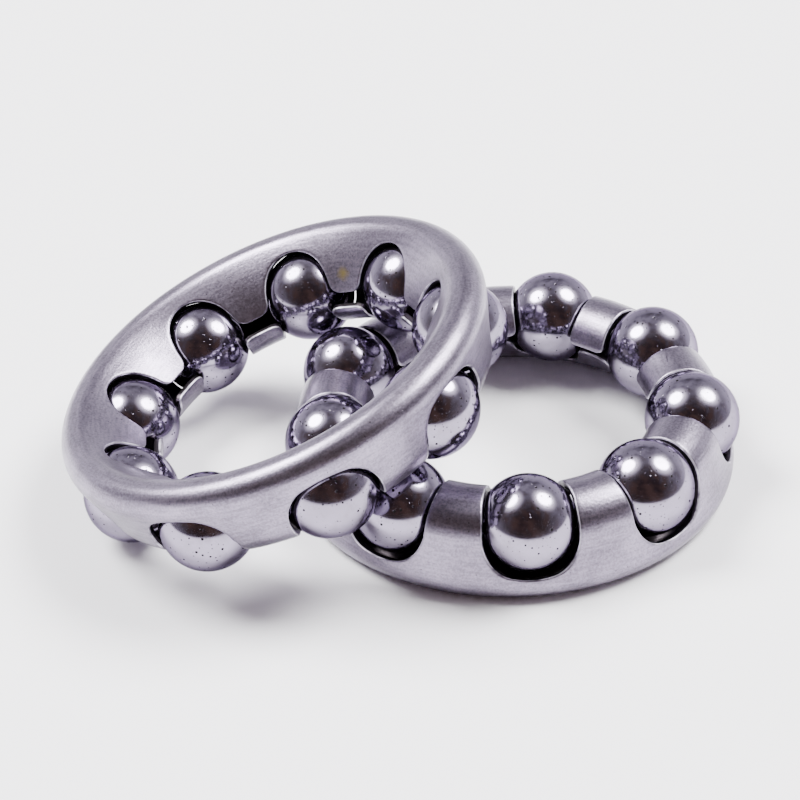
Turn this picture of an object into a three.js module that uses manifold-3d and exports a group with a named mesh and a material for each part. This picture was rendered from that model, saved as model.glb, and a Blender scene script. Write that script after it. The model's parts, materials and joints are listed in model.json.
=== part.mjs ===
// A pair of caged ball bearings: one lies flat on its back, the other leans over it, back up.
// Each is one pressed cage and nine balls. Millimetres, +Z up.
import * as THREE from 'three';
import Module from 'manifold-3d';
import { mergeVertices } from 'three/addons/utils/BufferGeometryUtils.js';

const wasm = await Module();
wasm.setup();

// Driving dimensions, mm and degrees
const ballDiameter = 6.35;
const ballCount = 9;
const ballCircleDiameter = 24.44;
const sheet = 0.5;
const pocketClearance = 0.475;
const pocketShift = 0.15;

// The cage's section, measured from a ball's centre: out from the ring's axis, and towards its back
const back = { out: 1.5, depth: 3.0, radius: 1.4 };
const curl = { out: -0.3, depth: 0.43, radius: 2.57 };
const landWidth = 0.6;
const coneRadius = 12;
const coneStart = 127.5;
const coneEnd = 146.9;
const fingerTip = -173;

// How the rings stand
const flatTurn = 73.37;
const leaningCentre = [-14.61, -1.516, 7.292];
const leaningTilt = 20.19;
const leaningTowards = 178.69;
const leaningTurn = 245.11;

// Fineness
const ringSegments = 36;
const ballDetail = 2;
const pocketDetail = 2;
const coneSteps = 2;
const crownSteps = 1;
const shoulderSteps = 2;
const curlSteps = 6;
const weldDistance = 1e-4;

const ballRadius = ballDiameter / 2;
const circleRadius = ballCircleDiameter / 2;
const pocketRadius = ballRadius + pocketClearance;
const landHalfAngle = THREE.MathUtils.radToDeg(Math.asin(landWidth / 2 / back.radius));
const landDepth = back.depth + Math.sqrt(back.radius ** 2 - (landWidth / 2) ** 2);

const cageSteel = { color: 0xa3a1a8, roughness: 0.42, metalness: 1 };
const ballSteel = { color: 0xcfced6, roughness: 0.1, metalness: 1 };

function arc(centre, radius, from, to, steps) {
  const points = [];
  for (let i = 0; i <= steps; i += 1) {
    const angle = THREE.MathUtils.degToRad(from + ((to - from) * i) / steps);
    const out = circleRadius + centre.out + radius * Math.cos(angle);
    points.push(new THREE.Vector2(out, centre.depth + radius * Math.sin(angle)));
  }
  return points;
}

// The straight wall runs between the back's arc and the curl's, touching both
function wallAngle() {
  const across = back.out - curl.out;
  const along = back.depth - curl.depth;
  const between = Math.hypot(across, along);
  const turn = Math.atan2(along, across) - Math.acos((curl.radius - back.radius) / between);
  return THREE.MathUtils.radToDeg(turn);
}

function sectionSide(inset) {
  const backRadius = back.radius - inset;
  const start = THREE.MathUtils.degToRad(coneStart);
  const coneCentre = {
    out: back.out + (back.radius - coneRadius) * Math.cos(start),
    depth: back.depth + (back.radius - coneRadius) * Math.sin(start),
  };
  const wall = wallAngle();
  return [
    ...arc(coneCentre, coneRadius - inset, coneEnd, coneStart, coneSteps).slice(0, -1),
    ...arc(back, backRadius, coneStart, 90 + landHalfAngle, crownSteps),
    ...arc(back, backRadius, 90 - landHalfAngle, wall, shoulderSteps),
    ...arc(curl, curl.radius - inset, wall, fingerTip, curlSteps),
  ];
}

function solidOf(geometry) {
  geometry.deleteAttribute('normal');
  geometry.deleteAttribute('uv');
  const merged = mergeVertices(geometry, weldDistance);
  const vertProperties = new Float32Array(merged.attributes.position.array);
  const triVerts = new Uint32Array(merged.index.array);
  return new wasm.Manifold(new wasm.Mesh({ numProp: 3, vertProperties, triVerts }));
}

function geometryOf(solid) {
  const mesh = solid.getMesh();
  const geometry = new THREE.BufferGeometry();
  geometry.setAttribute('position', new THREE.BufferAttribute(mesh.vertProperties, 3));
  geometry.setIndex(new THREE.BufferAttribute(mesh.triVerts, 1));
  geometry.computeVertexNormals();
  return geometry;
}

function placeOnCircle(index, radius) {
  const angle = (index * 2 * Math.PI) / ballCount;
  return new THREE.Vector3(radius * Math.cos(angle), radius * Math.sin(angle), 0);
}

// A channel bent round the ring, with a round pocket cut for each ball, which leaves the fingers and tabs
function cageGeometry() {
  const outline = [...sectionSide(0), ...sectionSide(sheet).reverse()];
  outline.push(outline[0].clone());
  outline.reverse();
  const band = new THREE.LatheGeometry(outline, ringSegments);
  band.rotateX(Math.PI / 2);
  let cage = solidOf(band);
  for (let i = 0; i < ballCount; i += 1) {
    const pocket = new THREE.IcosahedronGeometry(pocketRadius, pocketDetail);
    pocket.translate(...placeOnCircle(i, circleRadius + pocketShift).toArray());
    cage = cage.subtract(solidOf(pocket));
  }
  return geometryOf(cage);
}

function ballGeometry() {
  return geometryOf(solidOf(new THREE.IcosahedronGeometry(ballRadius, ballDetail)));
}

// A ring in its own frame: axis along Z, back up, balls' centres at height 0
function makeRing(name) {
  const ring = new THREE.Group();
  const cage = new THREE.Mesh(cageGeometry(), new THREE.MeshStandardMaterial(cageSteel));
  cage.name = `${name}_cage`;
  ring.add(cage);
  for (let i = 0; i < ballCount; i += 1) {
    const ball = new THREE.Mesh(ballGeometry(), new THREE.MeshStandardMaterial(ballSteel));
    ball.name = `${name}_ball_${i + 1}`;
    ball.position.copy(placeOnCircle(i, circleRadius));
    ring.add(ball);
  }
  return ring;
}

function placeFlat() {
  const ring = makeRing('flat_ring');
  ring.rotation.set(Math.PI, 0, THREE.MathUtils.degToRad(-flatTurn));
  ring.position.z = landDepth;
  return ring;
}

function placeLeaning() {
  const ring = makeRing('leaning_ring');
  const towards = THREE.MathUtils.degToRad(leaningTowards);
  const hinge = new THREE.Vector3(-Math.sin(towards), Math.cos(towards), 0);
  const tilt = new THREE.Quaternion();
  tilt.setFromAxisAngle(hinge, THREE.MathUtils.degToRad(leaningTilt));
  const turn = new THREE.Quaternion();
  turn.setFromAxisAngle(new THREE.Vector3(0, 0, 1), THREE.MathUtils.degToRad(leaningTurn));
  ring.quaternion.copy(tilt).multiply(turn);
  ring.position.fromArray(leaningCentre);
  return ring;
}

const pair = new THREE.Group();
pair.add(placeFlat(), placeLeaning());
pair.updateMatrixWorld(true);

// The origin goes to the middle of the pair's box, on the surface that it stands on
const group = new THREE.Group();
const box = new THREE.Box3().setFromObject(pair, true);
const middle = box.getCenter(new THREE.Vector3());
pair.position.set(-middle.x, -middle.y, -box.min.z);
group.add(pair);
group.updateMatrixWorld(true);

export default group;
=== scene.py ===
import json
import math
import random
import bmesh
import bpy
from mathutils import Matrix, Vector


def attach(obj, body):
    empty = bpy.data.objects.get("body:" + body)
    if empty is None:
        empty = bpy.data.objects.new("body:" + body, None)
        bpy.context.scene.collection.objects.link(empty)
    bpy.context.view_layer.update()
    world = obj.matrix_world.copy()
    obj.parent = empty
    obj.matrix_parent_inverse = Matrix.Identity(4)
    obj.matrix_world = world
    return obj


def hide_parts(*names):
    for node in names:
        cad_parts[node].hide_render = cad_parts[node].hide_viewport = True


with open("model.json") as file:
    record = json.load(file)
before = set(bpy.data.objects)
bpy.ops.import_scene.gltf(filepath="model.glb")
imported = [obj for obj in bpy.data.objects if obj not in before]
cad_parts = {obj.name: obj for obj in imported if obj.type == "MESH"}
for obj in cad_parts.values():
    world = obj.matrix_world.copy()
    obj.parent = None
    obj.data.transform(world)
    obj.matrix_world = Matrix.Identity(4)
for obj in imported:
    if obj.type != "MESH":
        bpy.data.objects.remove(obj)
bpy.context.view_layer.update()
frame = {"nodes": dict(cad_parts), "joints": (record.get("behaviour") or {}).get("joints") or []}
mm = 0.001
ballCount = 9
ringNames = ["flat_ring", "leaning_ring"]
print("frame loaded")


# where each ring is: its own axes have the first ball along X and the cage's back along Z
def ringPlace(ring):
    joints = {joint["name"]: joint for joint in frame["joints"]}
    rolls = [joints[f"{ring}_ball_{n + 1}_roll"] for n in range(ballCount)]
    balls = [Vector(roll["pos_m"]) for roll in rolls]
    centre = sum(balls, Vector()) / ballCount
    outward = (balls[0] - centre).normalized()
    # a ball's roll axis lies halfway between outward and the back
    backWay = (math.sqrt(2) * Vector(rolls[0]["axis"]) - outward).normalized()
    turn = Matrix((outward, backWay.cross(outward), backWay)).transposed()
    radius = (balls[0] - centre).length
    return {"centre": centre, "turn": turn, "balls": balls, "radius": radius}


places = {ring: ringPlace(ring) for ring in ringNames}


# a wire is a value in a shader, so that shader maths reads as plain expressions
class Wire:
    def __init__(self, shader, socket):
        self.shader = shader
        self.socket = socket

    def also(self, name):
        return Wire(self.shader, self.socket.node.outputs[name])

    def maths(self, operation, first, second):
        return self.shader.node("ShaderNodeMath", {"operation": operation}, {0: first, 1: second})

    def __add__(self, other):
        return self.maths("ADD", self, other)

    def __radd__(self, other):
        return self.maths("ADD", other, self)

    def __sub__(self, other):
        return self.maths("SUBTRACT", self, other)

    def __rsub__(self, other):
        return self.maths("SUBTRACT", other, self)

    def __mul__(self, other):
        return self.maths("MULTIPLY", self, other)

    def __rmul__(self, other):
        return self.maths("MULTIPLY", other, self)

    def __pow__(self, other):
        return self.maths("POWER", self, other)

    def __lt__(self, other):
        return self.maths("LESS_THAN", self, other)

    def __gt__(self, other):
        return self.maths("GREATER_THAN", self, other)


class Shader:
    def __init__(self, owner, surface="Principled BSDF"):
        owner.use_nodes = True
        self.owner = owner
        self.tree = owner.node_tree
        self.surface = self.tree.nodes[surface]

    def node(self, kind, settings=None, sockets=None, out=None):
        made = self.tree.nodes.new(kind)
        for key, value in (settings or {}).items():
            setattr(made, key, value)
        for key, value in (sockets or {}).items():
            self.put(made, key, value)
        live = [socket for socket in made.outputs if socket.enabled]
        return Wire(self, made.outputs[out] if out else live[0])

    def put(self, made, key, value):
        named = [s for s in made.inputs if s.enabled and key in (s.name, s.identifier)]
        socket = made.inputs[key] if isinstance(key, int) else named[0]
        if isinstance(value, Wire):
            self.tree.links.new(value.socket, socket)
        else:
            socket.default_value = value

    def finish(self, **sockets):
        for key, value in sockets.items():
            self.put(self.surface, key.replace("_", " "), value)
        return self.owner

    def mix(self, factor, first, second):
        sockets = {"Factor": factor, "A": (*first, 1) if isinstance(first, tuple) else first}
        sockets["B"] = (*second, 1) if isinstance(second, tuple) else second
        return self.node("ShaderNodeMix", {"data_type": "RGBA"}, sockets)

    def objectPlace(self):
        return self.node("ShaderNodeTexCoord", out="Object")

    def noise(self, vector, scale, detail, rough):
        sockets = {"Vector": vector, "Scale": scale, "Detail": detail, "Roughness": rough}
        return self.node("ShaderNodeTexNoise", sockets=sockets)

    def spots(self, vector, scale, size, share):
        cells = self.node("ShaderNodeTexVoronoi", sockets={"Vector": vector, "Scale": scale}, out="Distance")
        pick = self.node("ShaderNodeSeparateColor", sockets={"Color": cells.also("Color")}, out="Red")
        return (cells < size * pick) * (pick > 1 - share)

    def clamp(self, value, low, high):
        sockets = {"Value": value, "From Min": low, "From Max": high}
        return self.node("ShaderNodeMapRange", {"clamp": True}, sockets)


hairline = {"squeeze": (1.0, 0.035, 1.0), "size": 0.05}


# straight hairlines: spots that are drawn out one way, in sets of a turn, a scale and a share
def scratches(shader, vector, sets):
    layers = []
    for turn, scale, share in sets:
        sockets = {"Vector": vector, "Rotation": turn, "Scale": hairline["squeeze"]}
        drawnOut = shader.node("ShaderNodeMapping", sockets=sockets)
        layers.append(shader.spots(drawnOut, scale, hairline["size"], share))
    return sum(layers[1:], layers[0])


# noises are a scale, a detail and a roughness, and spots are a scale, a size and a share
ballFinish = {
    "steel": (0.305, 0.272, 0.355),
    "dull": (0.17, 0.155, 0.18),
    "edgeTint": (0.40, 0.375, 0.43),
    "pit": (0.015, 0.013, 0.014),
    "film": (420, 3.0, 0.5),
    "filmRange": (0.42, 0.75),
    "smear": (900, 5.0, 0.7),
    "smearRange": (0.50, 0.66),
    "pits": (2450, 0.23, 0.9),
    "specks": (4200, 0.22, 0.4),
    "scratches": [((0.4, 0.9, 0.2), 1500, 0.3), ((1.3, 0.2, 1.0), 1800, 0.25)],
    "filmCover": 0.35,
    "smearCover": 0.25,
    "scratchCover": 0.55,
    "speckCover": 0.8,
    "roughness": 0.115,
    "filmRough": 0.05,
    "smearRough": 0.06,
    "scratchRough": 0.12,
    "pitRough": 0.4,
    "speckDepth": 0.5,
    "bump": 0.35,
    "bumpDepth": 0.03 * mm,
}


def ballSteel():
    look = ballFinish
    shader = Shader(bpy.data.materials.new("polishedBallSteel"))
    place = shader.objectPlace()
    film = shader.clamp(shader.noise(place, *look["film"]), *look["filmRange"])
    smear = shader.clamp(shader.noise(place, *look["smear"]), *look["smearRange"])
    pits = shader.spots(place, *look["pits"])
    specks = shader.spots(place, *look["specks"])
    marks = scratches(shader, place, look["scratches"])
    steel = shader.mix(film * look["filmCover"] + smear * look["smearCover"], look["steel"], look["dull"])
    surfaceColour = shader.mix(marks * look["scratchCover"], steel, look["dull"])
    colour = shader.mix(pits + specks * look["speckCover"], surfaceColour, look["pit"])
    rough = look["roughness"] + film * look["filmRough"] + smear * look["smearRough"]
    rough = rough + marks * look["scratchRough"] + pits * look["pitRough"]
    height = 1 - pits - specks * look["speckDepth"]
    bump = {"Height": height, "Strength": look["bump"], "Distance": look["bumpDepth"]}
    normal = shader.node("ShaderNodeBump", sockets=bump)
    shader.finish(Metallic=1.0, Specular_Tint=(*look["edgeTint"], 1))
    return shader.finish(Base_Color=colour, Roughness=rough, Normal=normal)


cageFinish = {
    "steel": (0.355, 0.312, 0.405),
    "shade": (0.140, 0.121, 0.160),
    "dirt": (0.075, 0.066, 0.075),
    # painted shade: a near-black colour for the face at the balls and the cut, standing in for the shade
    # inside the pockets
    "pocketShade": (0.036, 0.030, 0.030),
    # partly bare rubbed steel, partly a painted highlight: a pale colour for the corner of the cut edge,
    # standing in for the bright line of light along it
    "rubbedAndHighlight": (0.80, 0.77, 0.85),
    "grease": (0.34, 0.27, 0.10),
    "brushing": (5200, 3.0, 0.5),
    "brushingTurn": 1.6 * mm,
    "grain": (6500, 3.0, 0.6),
    "grainShare": 0.6,
    "tintRange": (0.38, 0.60),
    "cloud": (300, 3.0, 0.5),
    "cloudRange": (0.35, 0.7),
    "dust": (2600, 0.14, 0.07),
    "scratches": [
        ((0.2, 0.5, 1.1), 1100, 0.35),
        ((1.0, 0.1, 0.3), 1300, 0.3),
        ((0.6, 1.2, 0.7), 700, 0.2),
    ],
    "tintCover": 0.52,
    "cloudCover": 0.38,
    "scratchCover": 0.6,
    "dustCover": 0.8,
    "pocketShadeCover": 0.9,
    "roughness": 0.28,
    "grainRough": 0.12,
    "cloudRough": 0.05,
    "scratchRough": 0.08,
    "bumpGrainShare": 0.7,
    "bump": 0.6,
    "bumpDepth": 0.03 * mm,
    "edgeWear": (1100, 3.0, 0.5),
    "edgeWearRange": (0.40, 0.68),
    "edgeRoughness": 0.5,
    "edgeWearRough": 0.15,
    "greaseBetween": 4.5,
    "greaseInward": 1.6 * mm,
    "greaseDepth": 2.2 * mm,
    "greaseSize": 0.55 * mm,
    "greaseFade": (0.8, 1.6),
    "greaseNoise": (1500, 2.0, 0.5),
    "greaseRagged": 0.5 * mm,
}


# a noise that is drawn out along the ring, as brushing is
def brushing(shader, world, place):
    turn = tuple(place["turn"].to_euler())
    sockets = {"Vector": world, "Location": tuple(place["centre"]), "Rotation": turn}
    own = shader.node("ShaderNodeMapping", {"vector_type": "TEXTURE"}, sockets)
    across = shader.node("ShaderNodeSeparateXYZ", sockets={"Vector": own}, out="X")
    along, up = across.also("Y"), across.also("Z")
    angle = shader.node("ShaderNodeMath", {"operation": "ARCTAN2"}, {0: along, 1: across})
    out = (across * across + along * along) ** 0.5
    sockets = {"X": angle * cageFinish["brushingTurn"], "Y": out, "Z": up}
    lanes = shader.node("ShaderNodeCombineXYZ", sockets=sockets)
    return shader.noise(lanes, *cageFinish["brushing"])


def cageSteel(ring, shadedInside):
    look = cageFinish
    finish = "ShadedInsideSteel" if shadedInside else "PressedSteel"
    shader = Shader(bpy.data.materials.new(ring + finish))
    place = places[ring]
    world = shader.objectPlace()
    brushed = brushing(shader, world, place)
    grain = shader.noise(world, *look["grain"])
    cloud = shader.clamp(shader.noise(world, *look["cloud"]), *look["cloudRange"])
    marks = scratches(shader, world, look["scratches"])
    dust = shader.spots(world, *look["dust"])
    mottle = grain * look["grainShare"] + brushed * (1 - look["grainShare"])
    tint = shader.clamp(mottle, *look["tintRange"])
    steel = shader.mix(tint * look["tintCover"] + cloud * look["cloudCover"], look["shade"], look["steel"])
    surfaceColour = shader.mix(marks * look["scratchCover"] + dust * look["dustCover"], steel, look["dirt"])
    rough = look["roughness"] + grain * look["grainRough"]
    rough = rough - cloud * look["cloudRough"] - marks * look["scratchRough"]
    # painted shade: the face at the balls and most of the cut edge are painted near black, as the shade that
    # falls inside the pockets
    if shadedInside:
        surfaceColour = shader.mix(look["pocketShadeCover"], surfaceColour, look["pocketShade"])
    elif ring == "leaning_ring":
        surfaceColour = shader.mix(greaseSpot(shader, world, place), surfaceColour, look["grease"])
    height = grain * look["bumpGrainShare"] + brushed * (1 - look["bumpGrainShare"]) - marks
    bump = {"Height": height, "Strength": look["bump"], "Distance": look["bumpDepth"]}
    normal = shader.node("ShaderNodeBump", sockets=bump)
    shader.finish(Metallic=1.0)
    return shader.finish(Base_Color=surfaceColour, Roughness=rough, Normal=normal)


# the sheared edge of the sheet: rubbed bare steel, painted brighter than its faces as a highlight line along
# the corner of the cut
def shearedSteel():
    look = cageFinish
    shader = Shader(bpy.data.materials.new("shearedEdgeSteel"))
    wear = shader.clamp(shader.noise(shader.objectPlace(), *look["edgeWear"]), *look["edgeWearRange"])
    colour = shader.mix(wear, look["rubbedAndHighlight"], look["shade"])
    shader.finish(Metallic=1.0)
    return shader.finish(Base_Color=colour, Roughness=wear * look["edgeWearRough"] + look["edgeRoughness"])


# a dab of old grease on one tab, inside the leaning ring
def greaseSpot(shader, world, place):
    look = cageFinish
    angle = 2 * math.pi * look["greaseBetween"] / ballCount
    reach = place["radius"] - look["greaseInward"]
    spot = Vector((reach * math.cos(angle), reach * math.sin(angle), look["greaseDepth"]))
    middle = place["centre"] + place["turn"] @ spot
    sockets = {0: world, 1: tuple(middle)}
    away = shader.node("ShaderNodeVectorMath", {"operation": "DISTANCE"}, sockets, out="Value")
    ragged = away + shader.noise(world, *look["greaseNoise"]) * look["greaseRagged"]
    near, far = (look["greaseSize"] * times for times in look["greaseFade"])
    return 1 - shader.clamp(ragged, near, far)


# the cage's shape in millimetres and degrees: its section is measured from a ball's centre, out from the
# ring's axis and towards the cage's back
cageShape = {
    "sheet": 0.5,
    "backOut": 1.5,
    "backDepth": 3.0,
    "backRadius": 1.4,
    "landWidth": 0.6,
    "curlOut": -0.3,
    "curlDepth": 0.43,
    "curlRadius": 2.57,
    "coneRadius": 12.0,
    "coneStart": 127.5,
    "coneEnd": 147.9,
    "fingerTip": -173.0,
    "pocketRadius": 3.48,
    "pocketShift": 0.15,
    "pocketHalf": 3.09,
    "pocketFull": 3.0,
    "pocketFlatness": 0.68,
    "closeFrom": 2.4,
    "closeTo": 4.6,
    "hugRadius": 3.22,
    "scallopRadius": 2.28,
    "fingerCorner": 0.55,
    "tabCorner": 0.75,
    "edgeStrip": 0.11,
}
cageMesh = {
    "columns": 12,
    "tabRows": 18,
    "bandRows": 22,
    "fingerRows": 44,
    "arcSteps": 240,
    "tipRoom": 0.05,
    "probe": 0.05,
    "leastStep": 1e-9,
    "weld": 0.002 * mm,
    "softLevels": 1,
}
finishSlots = {"pressed": 0, "shadedInside": 1, "sheared": 2}


def sectionArcs():
    shape = cageShape
    half = shape["sheet"] / 2
    start = math.radians(shape["coneStart"])
    lean = shape["backRadius"] - shape["coneRadius"]
    across = shape["backOut"] - shape["curlOut"]
    along = shape["backDepth"] - shape["curlDepth"]
    rise = math.acos((shape["curlRadius"] - shape["backRadius"]) / math.hypot(across, along))
    wall = math.atan2(along, across) - rise
    coneOut = shape["backOut"] + lean * math.cos(start)
    coneDepth = shape["backDepth"] + lean * math.sin(start)
    coneEnd, fingerTip = math.radians(shape["coneEnd"]), math.radians(shape["fingerTip"])
    return [
        (coneOut, coneDepth, shape["coneRadius"] - half, coneEnd, start),
        (shape["backOut"], shape["backDepth"], shape["backRadius"] - half, start, wall),
        (shape["curlOut"], shape["curlDepth"], shape["curlRadius"] - half, wall, fingerTip),
    ]


# the sheet's middle line as a chain of points with the length run so far, flattened at the land on the back
def sectionLine():
    land = math.sqrt(cageShape["backRadius"] ** 2 - (cageShape["landWidth"] / 2) ** 2)
    flat = cageShape["backDepth"] + land - cageShape["sheet"] / 2
    steps = cageMesh["arcSteps"]
    points = []
    for out, depth, radius, start, end in sectionArcs():
        for n in range(steps + 1):
            angle = start + (end - start) * n / steps
            points.append((out + radius * math.cos(angle), min(depth + radius * math.sin(angle), flat)))
    run = [0.0]
    for first, second in zip(points, points[1:]):
        run.append(run[-1] + math.dist(first, second))
    return points, run


linePoints, lineRun = sectionLine()


def sectionPoint(run):
    n = 1
    while n < len(lineRun) - 1 and lineRun[n] < run:
        n += 1
    step = max(lineRun[n] - lineRun[n - 1], cageMesh["leastStep"])
    share = min(max((run - lineRun[n - 1]) / step, 0), 1)
    first, second = linePoints[n - 1], linePoints[n]
    return [a + (b - a) * share for a, b in zip(first, second)]


# half the width of the round pocket where it crosses the section, and 0 where it doesn't reach
def roundPocket(run):
    out, depth = sectionPoint(run)
    reach = (out - cageShape["pocketShift"]) ** 2 + depth**2
    return math.sqrt(max(cageShape["pocketRadius"] ** 2 - reach, 0))


# half the width that just clears the ball, at whichever face of the sheet is nearer to it
def ballHug(run):
    out, depth = sectionPoint(run)
    before, after = sectionPoint(run - cageMesh["probe"]), sectionPoint(run + cageMesh["probe"])
    half = cageShape["sheet"] / 2 / math.dist(before, after)
    circle = places[ringNames[0]]["radius"] / mm
    widest = 0
    for side in (-half, half):
        reach = circle + out + side * (after[1] - before[1])
        height = depth + side * (before[0] - after[0])
        turned = (reach**2 + circle**2 + height**2 - cageShape["hugRadius"] ** 2) / (2 * reach * circle)
        widest = max(widest, math.acos(min(turned, 1)))
    return math.sin(widest) * (circle + out)


# 0 up to the low value and 1 from the high one, with a soft start and end between them
def smooth(value, low, high):
    share = min(max((value - low) / (high - low), 0), 1)
    return share * share * (3 - 2 * share)


# the outer pocket is a U that closes in round the ball as the finger curls over it
def outerHalf(run, start):
    filled = roundPocket(run) / cageShape["pocketFull"]
    wide = cageShape["pocketHalf"] * filled ** cageShape["pocketFlatness"]
    closing = smooth(run - start, cageShape["closeFrom"], cageShape["closeTo"])
    hug = ballHug(run)
    return max(wide + (hug - wide) * closing, hug)


# the inner scallop is half of a circle, and clears the ball down to the tab's tip
def innerHalf(run, top):
    circle = cageShape["scallopRadius"]
    across = circle - min(top - run, circle)
    wide = math.sqrt(circle**2 - across**2)
    return max(wide, ballHug(run))


def pocketEnds():
    closed = [run for run in lineRun if roundPocket(run) == 0]
    return min(closed), max(closed)


# rows lie close together at both ends of a finger or tab, where its outline turns
def easedRows(start, end, count):
    return [start + (end - start) * (1 - math.cos(math.pi * n / count)) / 2 for n in range(count + 1)]


# rows right beside the tip are left out, so that the cut edge there has whole faces next to it
def clearOfTip(rows, tip):
    return [run for run in rows if run == tip or abs(run - tip) > cageMesh["tipRoom"]]


# half the angle that a finger or tab takes up, with round corners at its tip
def halfSpan(run, tip, corner, pocket, radius):
    out = sectionPoint(run)[0]
    free = math.pi / ballCount - math.asin(pocket / (radius + out))
    left = abs(tip - run)
    if left < corner:
        free -= (corner - math.sqrt(corner**2 - (corner - left) ** 2)) / (radius + out)
    return free


def cageRows(radius):
    tabEnd, fingerStart = pocketEnds()
    tip = lineRun[-1]
    tabs = clearOfTip(easedRows(0, tabEnd, cageMesh["tabRows"])[:-1], 0)
    band = cageMesh["bandRows"]
    middle = [tabEnd + (fingerStart - tabEnd) * n / band for n in range(band + 1)]
    fingers = clearOfTip(easedRows(fingerStart, tip, cageMesh["fingerRows"])[1:], tip)
    rows = []
    for run in tabs:
        rows.append((run, halfSpan(run, 0, cageShape["tabCorner"], innerHalf(run, tabEnd), radius)))
    rows += [(run, math.pi / ballCount) for run in middle]
    for run in fingers:
        pocket = outerHalf(run, fingerStart)
        rows.append((run, halfSpan(run, tip, cageShape["fingerCorner"], pocket, radius)))
    return rows


# the sheet's middle surface: one strip for each finger and tab, joined into the band between the pockets
def cageSurface(place):
    radius = place["radius"] / mm
    mesh = bmesh.new()
    rows = cageRows(radius)
    columns = cageMesh["columns"]
    for sector in range(ballCount):
        middle = 2 * math.pi * (sector + 0.5) / ballCount
        grid = []
        for run, half in rows:
            out, depth = sectionPoint(run)
            line = []
            for column in range(columns + 1):
                angle = middle + half * (2 * column / columns - 1)
                reach = (radius + out) * mm
                spot = Vector((reach * math.cos(angle), reach * math.sin(angle), depth * mm))
                line.append(mesh.verts.new(place["centre"] + place["turn"] @ spot))
            grid.append(line)
        for lower, upper in zip(grid, grid[1:]):
            for n in range(columns):
                mesh.faces.new((lower[n], lower[n + 1], upper[n + 1], upper[n]))
    bmesh.ops.remove_doubles(mesh, verts=mesh.verts, dist=cageMesh["weld"])
    bmesh.ops.recalc_face_normals(mesh, faces=mesh.faces)
    backWay = place["turn"].col[2]
    furthest = max(mesh.faces, key=lambda face: face.calc_center_median().dot(backWay))
    if furthest.normal.dot(backWay) < 0:
        bmesh.ops.reverse_faces(mesh, faces=mesh.faces)
    return mesh


# the sheet's two faces and its cut edge: the face at the balls and the cut are painted near black as the
# shade in the pockets, and the corner strip is bare steel, painted bright as a highlight line
def thicken(mesh):
    half = cageShape["sheet"] / 2 * mm
    strip = cageShape["edgeStrip"] * mm
    mesh.normal_update()
    faces, middle = list(mesh.faces), list(mesh.verts)
    border = [vert for vert in middle if vert.is_boundary]
    cuts = [edge.link_loops[0] for edge in mesh.edges if edge.is_boundary]
    ends = [(loop.vert, loop.link_loop_next.vert) for loop in cuts]
    levels = []
    for height, verts in ((half, middle), (half - strip, border), (strip - half, border), (-half, middle)):
        levels.append({vert: mesh.verts.new(vert.co + vert.normal * height) for vert in verts})
    for face in faces:
        outer = mesh.faces.new([levels[0][vert] for vert in face.verts])
        outer.material_index = finishSlots["pressed"]
        inner = mesh.faces.new([levels[-1][vert] for vert in reversed(list(face.verts))])
        inner.material_index = finishSlots["shadedInside"]
    for first, second in ends:
        for upper, lower, finish in zip(levels, levels[1:], ("sheared", "shadedInside", "shadedInside")):
            cut = mesh.faces.new((upper[second], upper[first], lower[first], lower[second]))
            cut.material_index = finishSlots[finish]
    bmesh.ops.delete(mesh, geom=middle, context="VERTS")


def makeCage(ring, sheared):
    mesh = cageSurface(places[ring])
    thicken(mesh)
    cage = pieceFrom(mesh, f"{ring}_pressed_cage", cageSteel(ring, False))
    cage.data.materials.append(cageSteel(ring, True))
    cage.data.materials.append(sheared)
    soft = cage.modifiers.new("softEdges", "SUBSURF")
    soft.levels = cageMesh["softLevels"]
    soft.render_levels = cageMesh["softLevels"]
    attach(cage, ring)
    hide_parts(f"{ring}_cage")


def pieceFrom(mesh, name, material):
    data = bpy.data.meshes.new(name)
    mesh.to_mesh(data)
    mesh.free()
    for face in data.polygons:
        face.use_smooth = True
    data.materials.append(material)
    piece = bpy.data.objects.new(name, data)
    bpy.context.scene.collection.objects.link(piece)
    return piece


# knocks on the balls are real dents, a few on each ball
ballShape = {
    "divisions": 6,
    "dents": 9,
    "dentLow": 0.12 * mm,
    "dentHigh": 0.3 * mm,
    "dentDepth": 0.005 * mm,
    "seed": 41,
    "ringSeed": 100,
}


def makeBall(ring, number, centre, material):
    node = f"{ring}_ball_{number}"
    verts = frame["nodes"][node].data.vertices
    radius = max((vert.co - centre).length for vert in verts)
    chance = random.Random(ballShape["seed"] + number + ballShape["ringSeed"] * ringNames.index(ring))
    mesh = bmesh.new()
    bmesh.ops.create_icosphere(mesh, subdivisions=ballShape["divisions"], radius=radius)
    for _ in range(ballShape["dents"]):
        way = Vector([chance.gauss(0, 1) for _ in range(3)]).normalized()
        size = chance.uniform(ballShape["dentLow"], ballShape["dentHigh"])
        for vert in mesh.verts:
            away = (vert.co - way * radius).length / size
            if away < 1:
                vert.co *= 1 - ballShape["dentDepth"] * (1 - away**2) ** 2 / radius
    bmesh.ops.translate(mesh, verts=mesh.verts, vec=centre)
    ball = pieceFrom(mesh, f"{ring}_steel_ball_{number}", material)
    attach(ball, node)
    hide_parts(node)


# the view: aimed beside the flat ring's centre, from in front and above
viewPoint = {
    "aim": (-7.39 * mm, 1.87 * mm, 0),
    "distance": 163.5 * mm,
    "azimuth": 1.57,
    "elevation": 34.8,
    "roll": -2.75,
    "lens": 108,
    "sensor": 36,
    "nearest": 5 * mm,
}


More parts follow.
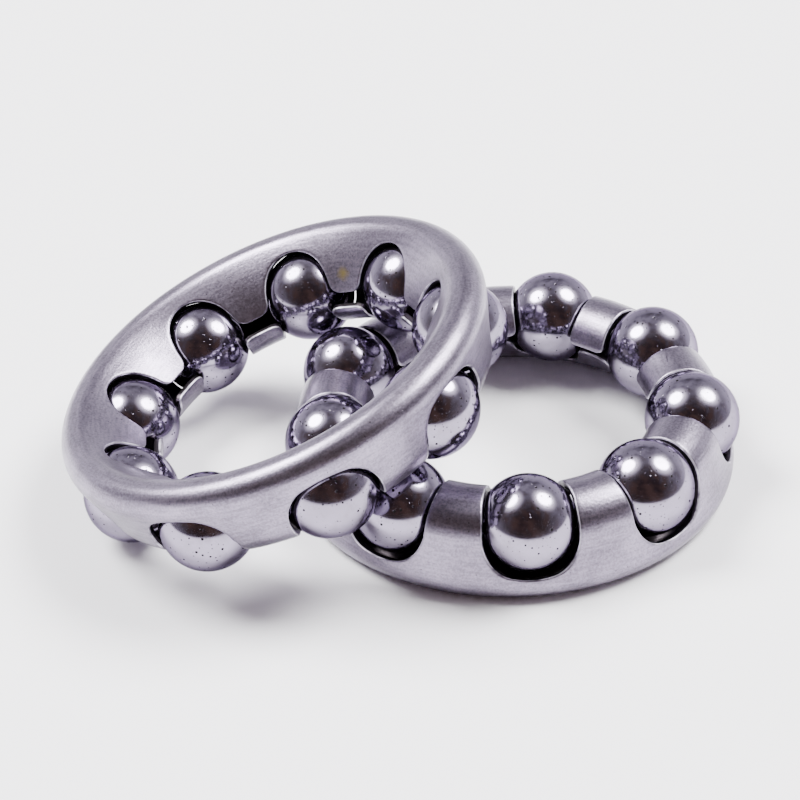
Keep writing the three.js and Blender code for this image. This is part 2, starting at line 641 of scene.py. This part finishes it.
def makeCamera():
    aim = places["flat_ring"]["centre"] + Vector(viewPoint["aim"])
    azimuth, elevation = math.radians(viewPoint["azimuth"]), math.radians(viewPoint["elevation"])
    flat = math.cos(elevation)
    away = Vector((math.sin(azimuth) * flat, -math.cos(azimuth) * flat, math.sin(elevation)))
    right = Vector((math.cos(azimuth), math.sin(azimuth), 0))
    turn = Matrix((right, away.cross(right), away)).transposed()
    roll = Matrix.Rotation(math.radians(viewPoint["roll"]), 3, "Z")
    camera = bpy.data.objects.new("camera", bpy.data.cameras.new("camera"))
    camera.matrix_world = Matrix.Translation(aim + away * viewPoint["distance"]) @ (turn @ roll).to_4x4()
    camera.data.lens = viewPoint["lens"]
    camera.data.sensor_width = viewPoint["sensor"]
    camera.data.clip_start = viewPoint["nearest"]
    bpy.context.scene.collection.objects.link(camera)
    bpy.context.scene.camera = camera


studio = {
    "boxSize": 0.28,
    "boxDistance": 0.55,
    "boxElevation": 56,
    "boxBack": 0.16,
    "boxPower": 6.5,
    "halo": (5.0, 4.9, 5.1),
    "haloRange": (0.87, 0.985),
    "haloFade": 2,
    "backdrop": (1.7, 1.65, 1.8),
    "backdropTop": (0.10, 0.50),
    "backdropSide": (0.0, 1.0, 0.0),
    "backdropRange": (0.0, 0.6),
    "walls": (0.78, 0.75, 0.84),
    "dimWall": (0.22, 0.20, 0.23),
    "patches": (2.7, 4.0, 0.65),
    "patchRange": (0.44, 0.60),
    "darkSide": (0.0, -0.866, 0.5),
    "darkRange": (-0.30, 0.82),
    "darkWall": (0.060, 0.041, 0.042),
    "brownWall": (0.20, 0.125, 0.095),
    "brownCover": 0.8,
    "clutter": (5.5, 4.0, 0.65),
    "clutterDepth": 0.8,
    "roomStrength": 1.0,
    "floor": (0.96, 0.955, 0.975),
    "floorRoughness": 0.85,
    "floorSize": 6.0,
}
softboxSides = {"softboxLeft": -1, "softboxRight": 1}


def softboxWay(side):
    height = math.radians(studio["boxElevation"])
    return Vector((side * math.cos(height), studio["boxBack"], math.sin(height))).normalized()


def makeSoftbox(name, side):
    way = softboxWay(side)
    light = bpy.data.lights.new(name, "AREA")
    light.shape = "DISK"
    light.size = studio["boxSize"]
    light.energy = studio["boxPower"]
    softbox = bpy.data.objects.new(name, light)
    softbox.location = way * studio["boxDistance"]
    softbox.rotation_mode = "QUATERNION"
    softbox.rotation_quaternion = way.to_track_quat("Z", "Y")
    bpy.context.scene.collection.objects.link(softbox)


# how far each way is towards a direction, from -1 to 1
def towards(shader, way, direction):
    sockets = {0: way, 1: tuple(direction)}
    return shader.node("ShaderNodeVectorMath", {"operation": "DOT_PRODUCT"}, sockets, out="Value")


# a bright backdrop low down behind the object, walls that are patchy higher up, the room's dark side in
# front, and a soft glow round each softbox
def makeRoom():
    shader = Shader(bpy.data.worlds.new("room"), "Background")
    way = shader.node("ShaderNodeTexCoord", out="Generated")
    clutter = shader.noise(way, *studio["clutter"]) - 0.5
    facing = towards(shader, way, studio["darkSide"]) + clutter * studio["clutterDepth"]
    dark = shader.clamp(facing, *studio["darkRange"])
    up = shader.node("ShaderNodeSeparateXYZ", sockets={"Vector": way}, out="Z")
    above = shader.clamp(up, *studio["backdropTop"])
    patches = shader.clamp(shader.noise(way, *studio["patches"]), *studio["patchRange"])
    wall = shader.mix(patches * above, studio["walls"], studio["dimWall"])
    behind = shader.clamp(towards(shader, way, studio["backdropSide"]), *studio["backdropRange"])
    pale = shader.mix(behind - behind * above, wall, studio["backdrop"])
    gloom = shader.mix(patches * studio["brownCover"], studio["darkWall"], studio["brownWall"])
    colour = shader.mix(dark, pale, gloom)
    for side in softboxSides.values():
        near = shader.clamp(towards(shader, way, softboxWay(side)), *studio["haloRange"])
        colour = shader.mix(near ** studio["haloFade"], colour, studio["halo"])
    return shader.finish(Color=colour, Strength=studio["roomStrength"])


def makeStudio():
    shader = Shader(bpy.data.materials.new("paleFloor"))
    paint = shader.finish(Base_Color=(*studio["floor"], 1), Roughness=studio["floorRoughness"])
    mesh = bmesh.new()
    bmesh.ops.create_grid(mesh, x_segments=1, y_segments=1, size=studio["floorSize"] / 2)
    pieceFrom(mesh, "floor", paint)
    bpy.context.scene.world = makeRoom()
    for name, side in softboxSides.items():
        makeSoftbox(name, side)


makeCamera()
makeStudio()
print("camera and studio made")
polished = ballSteel()
cutEdge = shearedSteel()
for ringName in ringNames:
    makeCage(ringName, cutEdge)
    for ballNumber, ballCentre in enumerate(places[ringName]["balls"], 1):
        makeBall(ringName, ballNumber, ballCentre, polished)
    print(ringName, "made")
